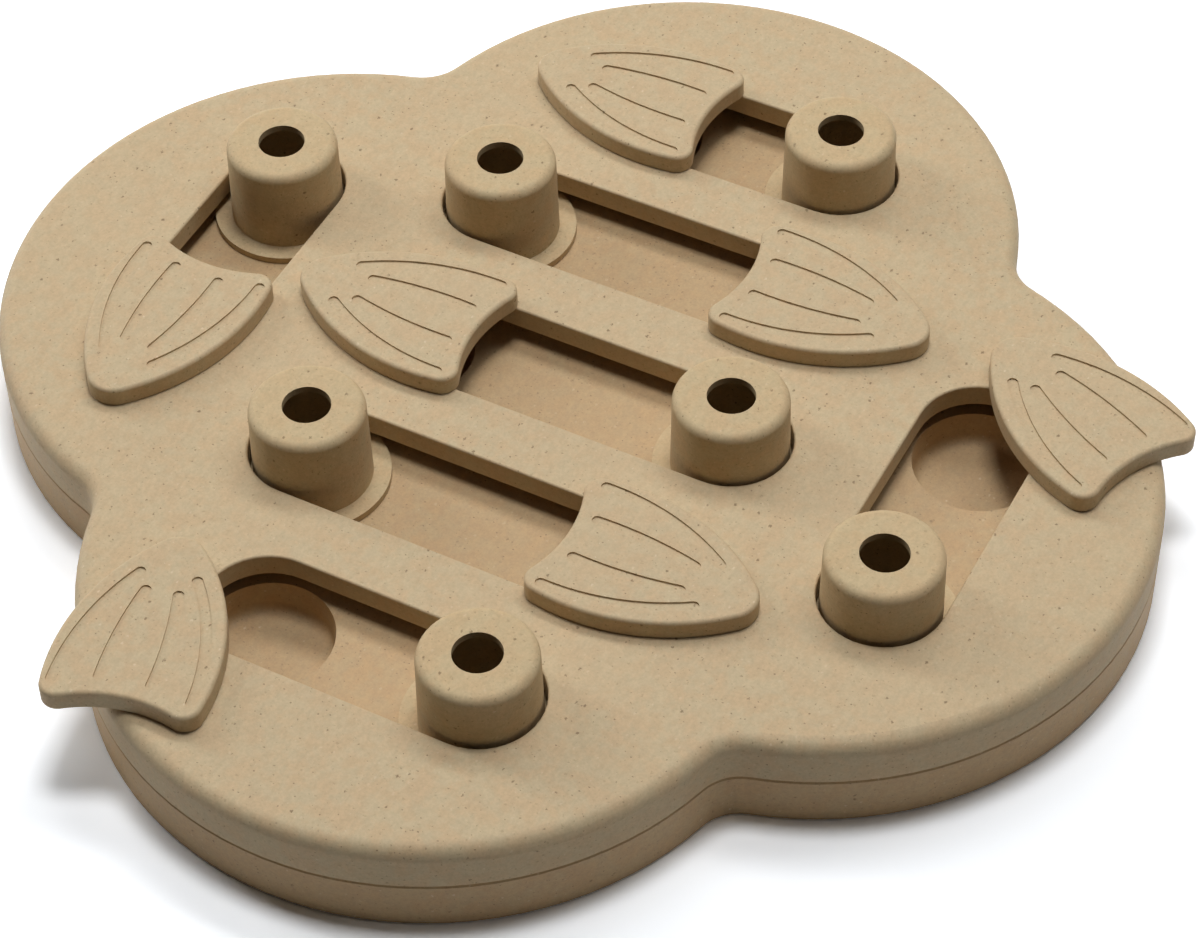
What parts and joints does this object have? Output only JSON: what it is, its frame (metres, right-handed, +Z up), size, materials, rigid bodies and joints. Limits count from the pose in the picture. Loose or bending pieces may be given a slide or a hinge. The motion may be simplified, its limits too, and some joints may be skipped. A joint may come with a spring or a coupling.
{
  "type": "dog puzzle feeder toy",
  "caption": "Flat lobed food puzzle for dogs with hollow knobs that slide in slots and swivelling fin-shaped lids over round food cups.",
  "frame": {"origin": "middle of the board's footprint, on the surface that it rests on", "axes": "+Z up out of the top face, X along the long slots, +Y across the rows towards the back slot"},
  "size_m": [0.4058, 0.4058, 0.056],
  "materials": {
    "top_composite": "matt moulded fibre composite, sand coloured with fine dark and pale flecks",
    "bottom_composite": "matt moulded fibre composite, sand coloured with fine dark and pale flecks",
    "moving_composite": "matt moulded fibre composite, a little smoother than the case",
    "steel": "plain zinc plated"
  },
  "bodies": {
    "case": {"top_shell": "top_composite", "bottom_shell": "bottom_composite", "case_screws": "steel"},
    "knob_1": {"slider_1": "moving_composite"},
    "lid_1": {"flipper_1": "moving_composite", "pivot_washer_1": "steel", "pivot_screw_1": "steel"},
    "knob_2": {"slider_2": "moving_composite"},
    "lid_2": {"flipper_2": "moving_composite", "pivot_washer_2": "steel", "pivot_screw_2": "steel"},
    "knob_3": {"slider_3": "moving_composite"},
    "lid_3": {"flipper_3": "moving_composite", "pivot_washer_3": "steel", "pivot_screw_3": "steel"},
    "knob_4": {"slider_4": "moving_composite"},
    "lid_4": {"flipper_4": "moving_composite", "pivot_washer_4": "steel", "pivot_screw_4": "steel"},
    "knob_5": {"slider_5": "moving_composite"},
    "lid_5": {"flipper_5": "moving_composite", "pivot_washer_5": "steel", "pivot_screw_5": "steel"},
    "knob_6": {"slider_6": "moving_composite"},
    "lid_6": {"flipper_6": "moving_composite", "pivot_washer_6": "steel", "pivot_screw_6": "steel"},
    "knob_7": {"slider_7": "moving_composite"},
    "lid_7": {"flipper_7": "moving_composite", "pivot_washer_7": "steel", "pivot_screw_7": "steel"}
  },
  "joints": [
    {"name": "slide_1", "type": "slide", "parent": "case", "child": "knob_1", "axis": [0, -1, 0], "range_m": [0, 0.023]},
    {"name": "swivel_1", "type": "hinge", "parent": "case", "child": "lid_1", "pos_m": [-0.1315, -0.0699, 0.036], "axis": [0, 0, 1], "range_deg": [-44, 110]},
    {"name": "slide_2", "type": "slide", "parent": "case", "child": "knob_2", "axis": [-1, 0, 0], "range_m": [0, 0.023]},
    {"name": "swivel_2", "type": "hinge", "parent": "case", "child": "lid_2", "pos_m": [-0.0699, 0.13, 0.036], "axis": [0, 0, 1], "range_deg": [-34, 110]},
    {"name": "slide_3", "type": "slide", "parent": "case", "child": "knob_3", "axis": [1, 0, 0], "range_m": [0, 0.066]},
    {"name": "swivel_3", "type": "hinge", "parent": "case", "child": "lid_3", "pos_m": [0.0914, 0.065, 0.036], "axis": [0, 0, 1], "range_deg": [-22, 22]},
    {"name": "slide_4", "type": "slide", "parent": "case", "child": "knob_4", "axis": [-1, 0, 0], "range_m": [0, 0.066]},
    {"name": "swivel_4", "type": "hinge", "parent": "case", "child": "lid_4", "pos_m": [-0.0914, 0, 0.036], "axis": [0, 0, 1], "range_deg": [-22, 22]},
    {"name": "slide_5", "type": "slide", "parent": "case", "child": "knob_5", "axis": [1, 0, 0], "range_m": [0, 0.066]},
    {"name": "swivel_5", "type": "hinge", "parent": "case", "child": "lid_5", "pos_m": [0.0914, -0.065, 0.036], "axis": [0, 0, 1], "range_deg": [-22, 22]},
    {"name": "slide_6", "type": "slide", "parent": "case", "child": "knob_6", "axis": [1, 0, 0], "range_m": [-0.065, 0]},
    {"name": "swivel_6", "type": "hinge", "parent": "case", "child": "lid_6", "pos_m": [-0.0699, -0.13, 0.036], "axis": [0, 0, 1], "range_deg": [-44, 76]},
    {"name": "slide_7", "type": "slide", "parent": "case", "child": "knob_7", "axis": [0, 1, 0], "range_m": [0, 0.057]},
    {"name": "swivel_7", "type": "hinge", "parent": "case", "child": "lid_7", "pos_m": [0.1315, 0.0699, 0.036], "axis": [0, 0, 1], "range_deg": [-63, 57]}
  ]
}
